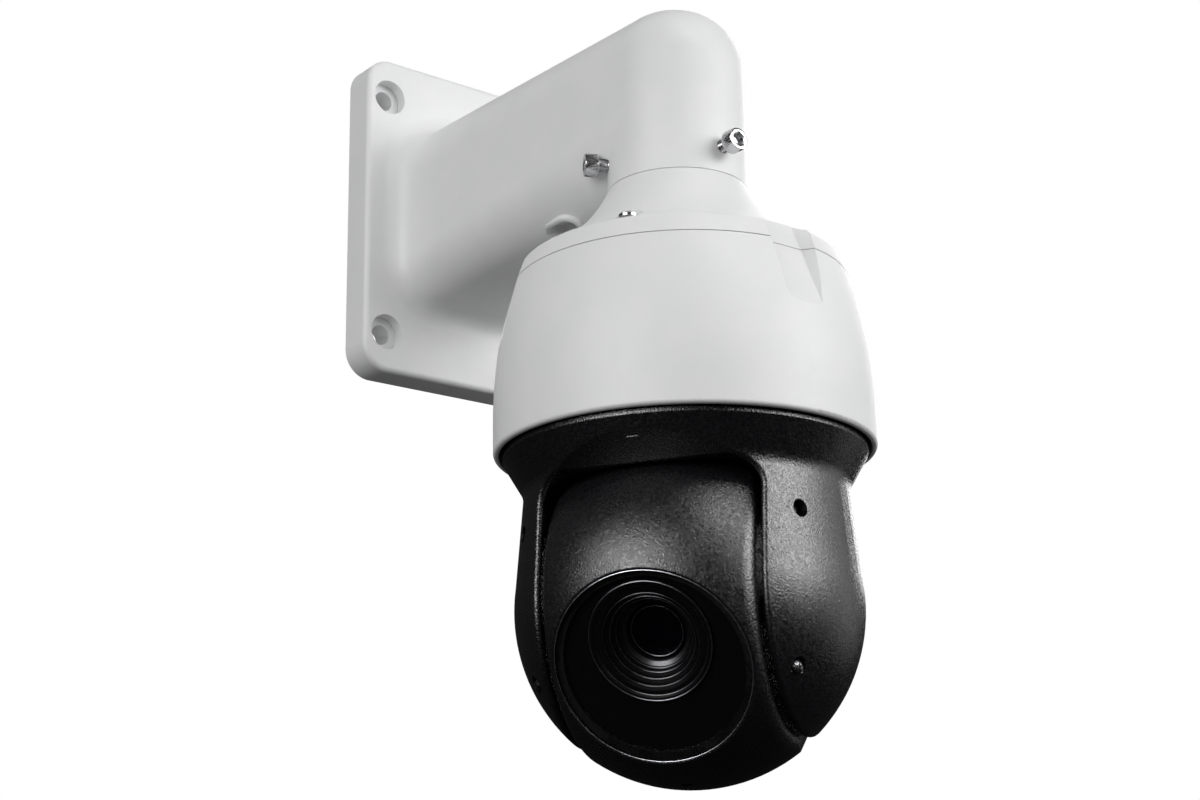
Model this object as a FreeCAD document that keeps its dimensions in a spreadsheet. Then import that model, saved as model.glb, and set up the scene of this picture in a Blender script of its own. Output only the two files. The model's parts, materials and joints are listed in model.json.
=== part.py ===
"""Wall-mounted pan-tilt-zoom camera, modelled as the pieces it is assembled from.

Row frame: origin at the centre of the wall plate's back face, +Z up, the wall on the +Y side.
Four local frames carry the pieces:
  wall  the row frame itself;
  neck  on the vertical pan axis, which stands `reach` in front of the wall;
  yoke  the neck frame turned by the pan angle at rest, its front along -Y;
  head  on the tilt axis, pitched down by the tilt angle at rest, its lens looking along -Y.
Heights in the wall, neck and yoke frames count from the row origin.
"""
import FreeCAD, Part
import math
import os
import Sketcher

Vector = FreeCAD.Vector
Rotation = FreeCAD.Rotation
Placement = FreeCAD.Placement

X_AXIS = Vector(1, 0, 0)
Y_AXIS = Vector(0, 1, 0)
Z_AXIS = Vector(0, 0, 1)
ALONG_X = Rotation(Y_AXIS, 90)      # turns a piece's own +Z onto +X
ALONG_FRONT = Rotation(X_AXIS, 90)  # turns a piece's own +Z onto -Y

SIZES = {
    # poses at rest, degrees
    "pan_rest": -57.8, "tilt_rest": 31,
    # screws: shank radii, the play round them, and the circles they stand on
    "screw": 1.45, "screw_large": 2, "screw_play": 0.05, "cover_screws": 56, "cover_screw_seat": -60.3,
    "deck_screws": 70.5, "motor_screws": 18.4, "board_screws": 53, "shaft_screws": 23.5,
    # the wall plate and its four counterbored holes
    "reach": 170, "plate_wide": 124, "plate_tall": 159, "plate_thick": 17, "plate_corner": 13,
    "plate_skin": 5, "plate_pocket_wide": 76, "plate_pocket_tall": 118, "plate_edge": 2.5,
    "bolts_across": 100, "bolts_up": 120, "bolt_hole": 4.75, "bolt_bore": 8.5, "bolt_bore_deep": 6,
    # the arm: half widths, bottoms and tops at the plate and at the socket
    "arm_half": 43.5, "arm_low": -43, "arm_high": 47, "arm_crown": 27, "arm_heel": 20,
    "arm_neck_low": -25.4, "arm_neck_heel": 25,
    "arm_root": 10, "arm_skin": 4.5, "duct_half": 27, "duct_low": -21.5, "duct_high": 47,
    # the socket at the arm's end
    "socket": 30.3, "socket_low": -29.3, "socket_high": 54, "socket_bore": 26.2, "socket_deep": 42,
    "lock_height": -17.5, "lock_out": 4.4, "lock_screw": 3, "lock_head": 5, "lock_head_tall": 6,
    "throat": 20, "throat_roof": 8, "flare_room": 50, "flare_room_drop": 19,
    # the cable opening in the arm's flank
    "port_long": 18, "port_wide": 9, "port_lip": 2.2, "port_side": -18, "port_out": 112,
    "port_height": -30.2, "port_turn": -163,
    # the top cover
    "spigot": 26, "spigot_inner": 21.5, "spigot_tall": 39, "flare_bend": 68,
    "seam": 71.67, "seam_height": -73.5, "body_bend": 209.6, "cover_edge": 69.4,
    "cover_edge_height": -67, "cover_top": 65.5, "cover_top_height": -63.9, "cover_skin": 3,
    "register": 64.5, "register_inner": 61, "register_low": -79, "seal_inner": 59.5, "seal_outer": 63.5,
    "recess_turn": -0.5, "recess_wide": 17.5, "recess_face": 66, "recess_lean": 22.9,
    "recess_deep": 14, "recess_tall": 70, "recess_flank": 10.5, "cover_boss": 5.5, "cover_lug": 6,
    # the cable gland in the cover's throat
    "gland": 21.4, "gland_low": -36, "gland_flange": 3, "gland_nut": 11, "gland_body": 9, "gland_bore": 4,
    "gland_nut_top": -27, "gland_body_top": -12, "gland_top": -8,
    # the white housing
    "house": 80, "house_low": -147, "house_straight": -132, "house_lip": 2.2,
    "ledge": 66, "ledge_low": -104, "ledge_high": -98, "shelf": 58, "shelf_high": -81.2,
    "shelf_low": -84, "dust_inner": 71, "dust_outer": 77.2, "dust_low": -144, "dust_high": -141,
    # the fixed plate inside and the pan drive
    "deck": 74, "deck_high": -104, "deck_low": -108, "hub": 27.5, "race_outer": 23.5,
    "race_inner": 17.5, "race_low": -122, "race_high": -115, "race_pitch": 20.5, "ball": 1.75,
    "pan_pulley": 27, "pan_pinion": 9, "pan_drive_gap": 46, "pan_belt_low": -101, "pan_belt_high": -97.5,
    "belt_gap": 0.3, "belt_thick": 1.4, "motor_side": 35, "motor_low": -129, "motor_shaft": 2.5,
    "motor_pilot": 11, "shaft_bore": 12.5, "shaft_foot": 27, "shaft_low": -135, "shaft_top": -95,
    "shaft_foot_high": -131.5, "slip_ring": 10.5, "slip_ring_gap": -111.2,
    "board": 58, "board_low": -90, "board_thick": 1.6,
    # the yoke
    "flange": 76, "flange_top": -146, "flange_low": -149, "waist": 67.6, "waist_height": -166,
    "waist_bend": 9, "cone_foot": 69.2, "cone_foot_height": -160.6,
    "shoulder": 70.9, "shoulder_height": -203, "tilt_height": -212.3, "globe": 71.5, "ear_skin": 2.6,
    "ear_tip": -268, "slot_half": 45, "slot_high": -163, "slot_corner": 12, "cheek": 2, "ear_lip": 1.6,
    "pocket_globe": 73.6, "brow_out": 75.6, "brow_height": -152.5, "brow_slope": 30.5,
    "ear_screw_turn": 56.5, "ear_screw_high": -183, "ear_screw_low": -244, "ear_screw_bore": 3.6,
    "ear_screw_deep": 5, "ear_screw_shallow": 1.2,
    "frame_disc": 61, "frame_disc_low": -138, "frame_disc_thick": 3, "arm_plate": 47.6,
    "arm_plate_thick": 2.5, "arm_plate_half": 33.5, "tilt_bearing": 8, "trunnion": 5,
    "axle_hole": 11, "stand_off": 3.4, "web": 66, "web_low": -155, "frame_bore": 12,
    "tilt_pulley": 15, "tilt_pinion": 5, "tilt_motor_up": 36.3, "tilt_belt_in": 51.1,
    "tilt_belt_wide": 1.8, "tilt_motor": 14, "tilt_motor_thick": 8.4, "tilt_motor_shaft": 1.5,
    # the head
    "head_globe": 72, "head_half": 43, "head_shoulder": 8, "head_corner": 28, "head_skin": 2.5,
    "window_out": 59.5, "window": 39.5, "window_thick": 2.1, "window_opening": 36, "head_split": 12,
    "head_seat": 20,
    "lens_up": 9.4, "vent": 2.2, "vent_turn": 39.2, "barrel": 24.9, "barrel_skin": 2.4,
    "barrel_flange": 31, "barrel_front": 56.5, "barrel_back": 20, "lens_edge": 9, "front_lens_edge": 12,
    "rod_apart": 19, "rod": 1, "mask_front": 55.5, "mask_thick": 1.2,
}

SHEET_NAME = "Dims"


class Size:
    """A length or angle that keeps its spreadsheet expression beside its value."""

    def __init__(self, value, text):
        self.value = value
        self.text = text

    @staticmethod
    def of(thing):
        return thing if isinstance(thing, Size) else Size(float(thing), "%.6g" % thing)

    def joined(self, other, sign, value):
        return Size(value, "(%s %s %s)" % (self.text, sign, Size.of(other).text))

    def __add__(self, other):
        return self.joined(other, "+", self.value + Size.of(other).value)

    def __sub__(self, other):
        return self.joined(other, "-", self.value - Size.of(other).value)

    def __mul__(self, other):
        return self.joined(other, "*", self.value * Size.of(other).value)

    def __truediv__(self, other):
        return self.joined(other, "/", self.value / Size.of(other).value)

    def __rsub__(self, other):
        return Size.of(other) - self

    def __neg__(self):
        return Size(-self.value, "(-1 * %s)" % self.text)

    __radd__ = __add__
    __rmul__ = __mul__


class Dims:
    """The spreadsheet's cells, read by their alias as Size values."""

    def __init__(self, doc):
        sheet = doc.addObject("Spreadsheet::Sheet", SHEET_NAME)
        for row, (name, value) in enumerate(SIZES.items(), start=1):
            sheet.set("A%d" % row, name)
            sheet.set("B%d" % row, str(value))
            sheet.setAlias("B%d" % row, name)
            setattr(self, name, Size(float(value), "%s.%s" % (SHEET_NAME, name)))


doc = FreeCAD.newDocument("PtzCamera")
dim = Dims(doc)
doc.recompute()
nodes = []


# ---------------------------------------------------------------- frames

def frame(name):
    """The local frame of a group of pieces, as a Placement in the row frame."""
    neck = Placement(Vector(0, -dim.reach.value, 0), Rotation())
    yoke = neck.multiply(Placement(Vector(), Rotation(Z_AXIS, dim.pan_rest.value)))
    pitch = Rotation(X_AXIS, dim.tilt_rest.value)
    frames = {
        "wall": Placement(),
        "neck": neck,
        "yoke": yoke,
        "head": yoke.multiply(Placement(Vector(0, 0, dim.tilt_height.value), pitch)),
    }
    return frames[name]


def at(x=0, y=0, z=0, turn=None):
    """A placement inside a local frame."""
    return Placement(Vector(*[Size.of(part).value for part in (x, y, z)]), turn or Rotation())


def node(shape, label, frame_name, local=None):
    """Registers a finished sub-part under the name of its file."""
    shape.Label = label
    shape.Placement = frame(frame_name).multiply(local or Placement()).multiply(shape.Placement)
    nodes.append(shape)
    return shape


# ---------------------------------------------------------------- sketches and bodies

class Arc:
    """A stretch of outline to (x, y) with a radius; it bulges left (+1) or right (-1) of its chord."""

    def __init__(self, x, y, radius, bulge):
        self.x, self.y, self.radius, self.bulge = Size.of(x), Size.of(y), Size.of(radius), bulge

    def edge(self, start, end):
        """The drawn arc, anticlockwise as sketches want it, so one bulging left runs from its end."""
        chord = end - start
        half = chord.Length / 2
        rise = self.radius.value - math.sqrt(max(self.radius.value ** 2 - half ** 2, 0))
        left = Vector(-chord.y, chord.x, 0).normalize()
        middle = (start + end) * 0.5 + left * (rise * self.bulge)
        if self.bulge > 0:
            return Part.Arc(end, middle, start)
        return Part.Arc(start, middle, end)


def outline_steps(outline):
    """Each corner of an outline as (x, y, arc), where arc is the bent stretch that leads to it."""
    steps = []
    for step in outline:
        if isinstance(step, Arc):
            steps.append((step.x, step.y, step))
        else:
            steps.append((Size.of(step[0]), Size.of(step[1]), None))
    return steps


def bind_constraint(sketch, constraint, size):
    index = sketch.addConstraint(constraint)
    sketch.setExpression("Constraints[%d]" % index, size.text)


def sketch_on(body, role, offset=0):
    """An empty sketch on one of the body's own origin planes."""
    sketch = body.newObject("Sketcher::SketchObject", "Outline")
    plane = [item for item in body.Origin.OriginFeatures if item.Role == role][0]
    sketch.AttachmentSupport = (plane, [""])
    sketch.MapMode = "FlatFace"
    sketch.AttachmentOffset = at(z=offset)
    sketch.setExpression("AttachmentOffset.Base.z", Size.of(offset).text)
    return sketch


def draw_outline(sketch, outline):
    """Draws a closed outline and ties every corner and radius to the spreadsheet."""
    steps = outline_steps(outline)
    count = len(steps)
    corners = [Vector(x.value, y.value, 0) for x, y, _ in steps]
    ends = []
    for index in range(count):
        arc = steps[(index + 1) % count][2]
        start, end = corners[index], corners[(index + 1) % count]
        edge = arc.edge(start, end) if arc else Part.LineSegment(start, end)
        number = sketch.addGeometry(edge)
        backward = arc is not None and arc.bulge > 0
        ends.append((number, 2 if backward else 1, 1 if backward else 2, arc))
    for index in range(count):
        number, first, last, arc = ends[index]
        following = ends[(index + 1) % count]
        sketch.addConstraint(Sketcher.Constraint("Coincident", number, last, following[0], following[1]))
        x, y, _ = steps[index]
        bind_constraint(sketch, Sketcher.Constraint("DistanceX", -1, 1, number, first, x.value), x)
        bind_constraint(sketch, Sketcher.Constraint("DistanceY", -1, 1, number, first, y.value), y)
        if arc:
            bind_constraint(sketch, Sketcher.Constraint("Radius", number, arc.radius.value), arc.radius)
    return sketch


def draw_circle(sketch, x, y, radius):
    """Adds a circle whose centre and radius follow the spreadsheet."""
    x, y, radius = Size.of(x), Size.of(y), Size.of(radius)
    number = sketch.addGeometry(Part.Circle(Vector(x.value, y.value, 0), Z_AXIS, radius.value))
    bind_constraint(sketch, Sketcher.Constraint("DistanceX", -1, 1, number, 3, x.value), x)
    bind_constraint(sketch, Sketcher.Constraint("DistanceY", -1, 1, number, 3, y.value), y)
    bind_constraint(sketch, Sketcher.Constraint("Radius", number, radius.value), radius)


def new_body(name="Piece"):
    return doc.addObject("PartDesign::Body", name)


def revolve(body, outline):
    """Adds a solid of revolution about the body's Z axis; outline corners are (radius, height)."""
    sketch = draw_outline(sketch_on(body, "XZ_Plane"), outline)
    feature = body.newObject("PartDesign::Revolution", "Turned")
    feature.Profile = sketch
    feature.ReferenceAxis = (sketch, ["V_Axis"])
    feature.Angle = 360
    return feature


def turned(outline):
    """A lathe-turned body about its own Z axis."""
    body = new_body("Turned")
    revolve(body, outline)
    return body


def ring(inner, outer, low, high):
    """A plain ring or tube."""
    return turned([(inner, low), (outer, low), (outer, high), (inner, high)])


def pad(body, sketch, length, reverse=False, midplane=False):
    feature = body.newObject("PartDesign::Pad", "Pad")
    feature.Profile = sketch
    feature.Reversed = reverse
    feature.Midplane = midplane
    feature.setExpression("Length", Size.of(length).text)
    return feature


def padded(outline, low, length, role="XY_Plane", midplane=False):
    """A flat outline given thickness."""
    body = new_body("Padded")
    pad(body, draw_outline(sketch_on(body, role, low), outline), length, midplane=midplane)
    return body


def rounded_box_outline(half_x, low, high, low_corner, high_corner):
    """A rounded rectangle centred on x = 0, with its own radii at the bottom and the top."""
    half_x, low, high = Size.of(half_x), Size.of(low), Size.of(high)
    low_corner, high_corner = Size.of(low_corner), Size.of(high_corner)
    return [
        Arc(low_corner - half_x, low, low_corner, -1),
        (half_x - low_corner, low),
        Arc(half_x, low + low_corner, low_corner, -1),
        (half_x, high - high_corner),
        Arc(half_x - high_corner, high, high_corner, -1),
        (high_corner - half_x, high),
        Arc(-half_x, high - high_corner, high_corner, -1),
        (-half_x, low + low_corner),
    ]


# ---------------------------------------------------------------- primitives and booleans

def set_sizes(shape, **sizes):
    for name, size in sizes.items():
        shape.setExpression(name, Size.of(size).text)
    return shape


def cylinder(radius, length, place=None):
    shape = set_sizes(doc.addObject("Part::Cylinder", "Cylinder"), Radius=radius, Height=length)
    shape.Placement = place or Placement()
    return shape


def box(long, wide, tall, place=None):
    """A box centred on its own X and Y axes, standing on z = 0."""
    shape = set_sizes(doc.addObject("Part::Box", "Box"), Length=long, Width=wide, Height=tall)
    shift = at(Size.of(long) / -2, Size.of(wide) / -2)
    shape.Placement = (place or Placement()).multiply(shift)
    return shape


def sphere(radius, place=None):
    shape = set_sizes(doc.addObject("Part::Sphere", "Sphere"), Radius=radius)
    shape.Placement = place or Placement()
    return shape


def group(shapes):
    """Several solids as one shape; touching ones become one solid."""
    if len(shapes) == 1:
        return shapes[0]
    fused = doc.addObject("Part::MultiFuse", "Group")
    fused.Shapes = shapes
    return fused


def cut(base, tools):
    result = doc.addObject("Part::Cut", "Cut")
    result.Base = base
    result.Tool = group(tools)
    return result


def common(first, second):
    result = doc.addObject("Part::MultiCommon", "Common")
    result.Shapes = [first, second]
    return result


def placed(shape, place):
    shape.Placement = place
    return shape


def around(count, start=0):
    """Rotations about Z, evenly spaced, from the start angle on."""
    return [Placement(Vector(), Rotation(Z_AXIS, start + turn * 360 / count)) for turn in range(count)]


def on_circle(count, radius, height=0, start=0, turn=None):
    """Placements evenly spaced on a circle round Z; each may be turned on its own spot."""
    spot = at(y=-Size.of(radius), z=height, turn=turn)
    return [place.multiply(spot) for place in around(count, start)]


def bores_at(places, radius, depth):
    """Plain round holes, or posts, of one size: they start at each place and run along its +Z."""
    return [cylinder(radius, depth, place) for place in places]


def edges_where(shape, test):
    """The names of the edges whose every end and middle point pass the test."""
    names = []
    for number, edge in enumerate(shape.Edges, start=1):
        middle = edge.valueAt((edge.FirstParameter + edge.LastParameter) / 2)
        if all(test(point) for point in [vertex.Point for vertex in edge.Vertexes] + [middle]):
            names.append("Edge%d" % number)
    return names


def fillet(body, base, radius, test):
    """Rounds the edges of a body's feature that pass the test."""
    doc.recompute()
    feature = body.newObject("PartDesign::Fillet", "Rounded")
    feature.Base = (base, edges_where(base.Shape, test))
    feature.setExpression("Radius", Size.of(radius).text)
    return feature


def rounded(base, radius, test):
    """Rounds the edges of a solid that pass the test."""
    doc.recompute()
    radius = Size.of(radius).value
    feature = doc.addObject("Part::Fillet", "Rounded")
    feature.Base = base
    feature.Edges = [(int(name[4:]), radius, radius) for name in edges_where(base.Shape, test)]
    return feature


def pan_head(radius, tall, place, slot=0.55):
    """A screw's domed head with a cross recess, standing on z = 0 of its placement."""
    foot = tall * 0.45
    dome = turned([(0, 0), (radius, 0), (radius, foot), Arc(0, tall, radius * 1.25, -1)])
    cross = [box(radius * 1.1, slot, tall, at(z=foot, turn=Rotation(Z_AXIS, turn))) for turn in (0, 90)]
    head = cut(dome, cross)
    head.Placement = place
    return head


def screw(head_radius, head_tall, shank_radius, shank_long, place):
    """A pan-head screw whose head stands on z = 0 and whose shank points to -Z."""
    shank = cylinder(shank_radius, shank_long, place.multiply(at(z=-Size.of(shank_long))))
    return group([pan_head(head_radius, head_tall, place), shank])


# ---------------------------------------------------------------- wall bracket

TOUCH = 0.01


def arm_section(body, offset, half, low, high, low_corner, high_corner):
    sketch = sketch_on(body, "XZ_Plane", offset)
    return draw_outline(sketch, rounded_box_outline(half, low, high, low_corner, high_corner))


def loft(body, kind, sections):
    feature = body.newObject(kind, "Arm")
    feature.Profile = sections[0]
    feature.Sections = sections[1:]
    feature.Ruled = True
    return feature


def pocket(body, sketch, length, reverse=False):
    feature = body.newObject("PartDesign::Pocket", "Pocket")
    feature.Profile = sketch
    feature.Reversed = reverse
    feature.setExpression("Length", Size.of(length).text)
    return feature


def bolt_circles(body, offset, radius):
    sketch = sketch_on(body, "XZ_Plane", offset)
    for side in (-1, 1):
        for level in (-1, 1):
            draw_circle(sketch, dim.bolts_across * side / 2, dim.bolts_up * level / 2, radius)
    return sketch


def bracket_casting():
    """The plate and the arm, with the plate's pocket, the arm's hollow and the bolt holes."""
    body = new_body("Bracket")
    outline = rounded_box_outline(dim.plate_wide / 2, dim.plate_tall / -2, dim.plate_tall / 2,
                                  dim.plate_corner, dim.plate_corner)
    plate = pad(body, draw_outline(sketch_on(body, "XZ_Plane"), outline), dim.plate_thick)
    front = -dim.plate_thick.value
    on_front = lambda point: abs(point.y - front) < TOUCH
    fillet(body, plate, dim.plate_edge, on_front)
    doc.recompute()
    loft(body, "PartDesign::AdditiveLoft", [
        arm_section(body, dim.plate_thick - 1, dim.arm_half, dim.arm_low, dim.arm_high,
                    dim.arm_heel, dim.arm_crown),
        arm_section(body, dim.reach + 2.6, dim.socket - 0.2, dim.arm_neck_low,
                    dim.socket_high - 0.1, dim.arm_neck_heel, dim.arm_crown - 0.2),
    ])
    doc.recompute()
    fillet(body, body.Tip, dim.arm_root, lambda point: on_front(point) and abs(point.x) < dim.arm_half.value
           + 1 and dim.arm_low.value - 1 < point.z < dim.arm_high.value + 1)
    doc.recompute()
    loft(body, "PartDesign::SubtractiveLoft", [
        arm_section(body, dim.plate_thick - dim.plate_skin - 1, dim.arm_half - dim.arm_skin - 2,
                    dim.arm_low + dim.arm_skin, dim.arm_high - dim.arm_skin, 16, 22),
        arm_section(body, dim.reach - dim.socket - 3.5, dim.duct_half, dim.duct_low, dim.duct_high, 17, 20),
    ])
    doc.recompute()
    half = dim.plate_pocket_wide / 2
    room = rounded_box_outline(half, dim.plate_pocket_tall / -2, dim.plate_pocket_tall / 2, 8, 8)
    pocket(body, draw_outline(sketch_on(body, "XZ_Plane"), room), dim.plate_thick - dim.plate_skin, True)
    pocket(body, bolt_circles(body, 0, dim.bolt_hole), dim.plate_thick, True)
    pocket(body, bolt_circles(body, dim.plate_thick - dim.bolt_bore_deep, dim.bolt_bore),
           dim.bolt_bore_deep, True)
    return body


def port_outline(extra):
    """The oval of the cable opening, grown by a margin."""
    half = dim.port_wide / 2 + extra
    run = (dim.port_long - dim.port_wide) / 2
    return [
        Arc(-run, -half, half * 1.0001, -1), (run, -half),
        Arc(run + half, 0, half * 1.0001, -1), Arc(run, half, half * 1.0001, -1),
        (-run, half), Arc(-run - half, 0, half * 1.0001, -1),
    ]


def wall_bracket():
    neck_axis = at(y=-dim.reach)
    socket = placed(turned([
        (0, dim.socket_low), (dim.socket, dim.socket_low),
        (dim.socket, dim.socket_high - dim.arm_crown),
        Arc(dim.socket - dim.arm_crown, dim.socket_high, dim.arm_crown, -1), (0, dim.socket_high),
    ]), neck_axis)
    bore_top = dim.socket_low + dim.socket_deep
    bore = placed(turned([
        (0, dim.socket_low - 30), (dim.flare_room, dim.socket_low - 30),
        (dim.flare_room, dim.socket_low - dim.flare_room_drop), (dim.socket + 0.7, dim.socket_low),
        (dim.socket_bore, dim.socket_low), (dim.socket_bore, bore_top), (dim.throat, bore_top + 3),
        (dim.throat, dim.socket_high - dim.throat_roof - 4), (0, dim.socket_high - dim.throat_roof),
    ]), neck_axis)
    wire_way = box(30, 30, 26, at(y=-dim.reach + dim.socket - 8, z=bore_top + 4))
    screw_holes = []
    for turn in around(3):
        way = neck_axis.multiply(turn).multiply(at(z=dim.lock_height, turn=ALONG_FRONT))
        screw_holes.append(cylinder(dim.lock_screw + 0.02, 20, way.multiply(at(z=dim.spigot - 4))))
        head_room = way.multiply(at(z=dim.socket + dim.lock_out - 0.2))
        screw_holes.append(cylinder(dim.lock_head + 0.4, 12, head_room))
    along = Rotation(Y_AXIS, dim.port_turn.value).multiply(Rotation(Z_AXIS, 90))
    flank = at(x=dim.port_side, y=-dim.port_out, z=dim.port_height, turn=along)
    lip = rounded(padded(port_outline(dim.port_lip), 0, 6), 1.4, lambda point: point.z > 6 - TOUCH)
    lip = placed(lip, flank.multiply(at(z=-4.2)))
    port = placed(padded(port_outline(0), 0, 16), flank.multiply(at(z=-12)))
    metal = group([bracket_casting(), socket, lip])
    node(cut(metal, [bore, wire_way, port] + screw_holes), "wall_bracket", "wall")


def hexagon(reach):
    """A hexagon's corners, each `reach` from its centre."""
    angles = [math.radians(60 * corner) for corner in range(6)]
    return [(reach * math.cos(angle), reach * math.sin(angle)) for angle in angles]


def neck_lock_screws():
    """Three M6 socket-head screws that clamp the spigot; their heads stand proud of the socket."""
    screws = []
    under_head = dim.socket + dim.lock_out
    for turn in around(3):
        way = turn.multiply(at(z=dim.lock_height, turn=ALONG_FRONT))
        tip = dim.spigot + 0.05
        shank = cylinder(dim.lock_screw, under_head - tip, way.multiply(at(z=tip)))
        rim, crown = dim.lock_head, under_head + dim.lock_head_tall
        head = turned([(0, under_head), (rim - 0.2, under_head), (rim, under_head + 0.3), (rim, crown - 0.5),
                       (rim - 0.5, crown), (0, crown)])
        recess = padded(hexagon(2.9), crown - 3, 3.2)
        screws.append(group([placed(cut(head, [recess]), way), shank]))
    node(group(screws), "neck_lock_screws", "neck")


# ---------------------------------------------------------------- top cover and housing

def recess_tools():
    """Three leaning flats with flared flanks, one above each lock screw, in the cover and the housing."""
    lean = Rotation(X_AXIS, -dim.recess_lean.value)
    feet = on_circle(3, dim.recess_face, dim.seam_height, dim.recess_turn.value, lean)
    floor, mouth = dim.recess_wide / 2, dim.recess_wide / 2 + dim.recess_flank
    outline = [(-floor, 0), (floor, 0), (mouth, -dim.recess_deep), (-mouth, -dim.recess_deep)]
    shift = at(z=dim.recess_tall / -2)
    return [placed(padded(outline, 0, dim.recess_tall), foot.multiply(shift)) for foot in feet]


def cover_screw_seats(rise=0):
    """On or below the flats, sunk into the flare's foot between the recesses, for the cover's screws."""
    return on_circle(3, dim.cover_screws, dim.cover_screw_seat + rise, -62)


def top_cover():
    skin = dim.cover_skin
    shell = turned([
        (dim.spigot_inner, dim.socket_low + dim.spigot_tall), (dim.spigot_inner, dim.gland_low),
        (dim.spigot_inner + 4, dim.gland_low - 3),
        Arc(dim.register_inner, dim.cover_top_height - skin - 1.2, dim.flare_bend, -1),
        (dim.register_inner, dim.register_low),
        (dim.register, dim.register_low), (dim.register, dim.seam_height + 0.1),
        (dim.seam, dim.seam_height + 0.1),
        Arc(dim.cover_edge, dim.cover_edge_height, dim.body_bend, -1),
        Arc(dim.cover_top, dim.cover_top_height, 4, -1),
        Arc(dim.socket, dim.socket_low - 0.2, dim.flare_bend, 1),
        (dim.spigot, dim.socket_low - 0.2), (dim.spigot, dim.socket_low + dim.spigot_tall - 1),
        (dim.spigot - 1, dim.socket_low + dim.spigot_tall),
    ])
    seats = bores_at(cover_screw_seats(), dim.cover_boss + 0.2, 12)
    tall = dim.cover_screw_seat - dim.register_low
    clearance = dim.screw_large + 2 * dim.screw_play
    bosses = bores_at(cover_screw_seats(tall / -1), dim.cover_boss, tall - 2)
    bores = bores_at(cover_screw_seats(tall / -1 - 1), clearance, tall + 2)
    node(cut(group([shell] + bosses), recess_tools() + seats + bores), "top_cover", "neck")


def top_cover_screws():
    """M4 pan-head screws that pull the cover down on its seal; they bite in the housing's lugs."""
    length = dim.cover_screw_seat - dim.shelf_high + 6
    screws = [screw(4, 2.8, dim.screw_large, length, seat) for seat in cover_screw_seats()]
    node(group(screws), "top_cover_screws", "neck")


def upper_housing():
    low = dim.house_low
    shell = turned([
        (dim.house - 1.6, low), Arc(dim.house, low + 1.6, 1.6, -1), (dim.house, dim.house_straight),
        Arc(dim.seam, dim.seam_height - 0.15, dim.body_bend, -1),
        (dim.register + 0.3, dim.seam_height - 0.15), (dim.register + 0.3, dim.shelf_high),
        (dim.shelf, dim.shelf_high), (dim.shelf, dim.shelf_low), (dim.register + 3, dim.shelf_low),
        (dim.deck, dim.ledge_high), (dim.ledge, dim.ledge_high), (dim.ledge, dim.ledge_low),
        (dim.deck + 0.9, dim.ledge_low), (dim.house - 3.4, dim.house_straight),
        (dim.house - dim.house_lip, low),
    ])
    deck_taps = bores_at(deck_screw_places(dim.ledge_low - 1), dim.screw_large + dim.screw_play, 9)
    lug_drop = dim.shelf_high - dim.cover_screw_seat - 6.3
    lugs = bores_at(cover_screw_seats(lug_drop), dim.cover_lug, 6.3)
    cover_taps = bores_at(cover_screw_seats(lug_drop - 0.5), dim.screw_large + dim.screw_play, 8)
    node(cut(group([shell] + lugs), recess_tools() + deck_taps + cover_taps), "upper_housing", "neck")


def cover_seal():
    low, high = dim.shelf_high + 0.05, dim.register_low - 0.05
    node(ring(dim.seal_inner, dim.seal_outer, low, high), "cover_seal", "neck")


def cable_gland():
    """The sealed gland in the cover's throat that the camera's lead passes through."""
    flange_top = dim.gland_low + dim.gland_flange
    gland = turned([
        (dim.gland_bore, dim.gland_low), (dim.gland, dim.gland_low), (dim.gland, flange_top),
        (dim.gland_nut, flange_top), (dim.gland_nut, dim.gland_nut_top), (dim.gland_body, dim.gland_nut_top),
        (dim.gland_body, dim.gland_body_top), (dim.gland_body - 2, dim.gland_top),
        (dim.gland_bore, dim.gland_top),
    ])
    node(gland, "cable_gland", "neck")


def dust_ring():
    """The fixed ring inside the housing's mouth, above the turning flange."""
    node(ring(dim.dust_inner, dim.dust_outer, dim.dust_low, dim.dust_high), "dust_ring", "neck")


# ---------------------------------------------------------------- fixed works inside the housing

def motor_place(z=0):
    return at(y=dim.pan_drive_gap, z=z)


def deck_screw_places(height, turn=None):
    """On the circle of the four screws between the chassis plate and the housing."""
    return on_circle(4, dim.deck_screws, height, 45, turn)


def motor_screw_places(height):
    """On the circle of the pan motor's four screws, in the motor's own frame."""
    return on_circle(4, dim.motor_screws, height, 45)


def chassis_plate():
    deck = turned([
        (dim.race_outer, dim.race_low - 1), (dim.hub, dim.race_low - 1), (dim.hub, dim.deck_low),
        (dim.deck, dim.deck_low),
        (dim.deck, dim.deck_high), (dim.race_outer - 2.5, dim.deck_high),
        (dim.race_outer - 2.5, dim.race_high), (dim.race_outer, dim.race_high),
    ])
    below = dim.deck_low - 2
    drills = bores_at(deck_screw_places(below), dim.screw_large + 2 * dim.screw_play, 8)
    drills.append(cylinder(dim.motor_pilot + 0.1, 8, motor_place(below)))
    motor_screws = [motor_place().multiply(place) for place in motor_screw_places(below)]
    drills += bores_at(motor_screws, dim.screw + 2 * dim.screw_play, 8)
    node(cut(deck, drills), "chassis_plate", "neck")


def chassis_screws():
    places = deck_screw_places(dim.deck_low, Rotation(X_AXIS, 180))
    screws = [screw(3.8, 2.8, dim.screw_large, 9, place) for place in places]
    node(group(screws), "chassis_screws", "neck")


def pan_motor():
    half = dim.motor_side / 2
    can = padded(rounded_box_outline(half, -half, half, 5, 5), dim.motor_low, dim.deck_low - dim.motor_low)
    pilot = cylinder(dim.motor_pilot, 1.5, at(z=dim.deck_low))
    bore = cylinder(dim.motor_shaft + 0.05, 40, at(z=dim.motor_low + 2))
    taps = bores_at(motor_screw_places(dim.deck_low - 4.1), dim.screw + dim.screw_play, 4.2)
    node(cut(group([can, pilot]), [bore] + taps), "pan_motor", "neck", motor_place())


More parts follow.
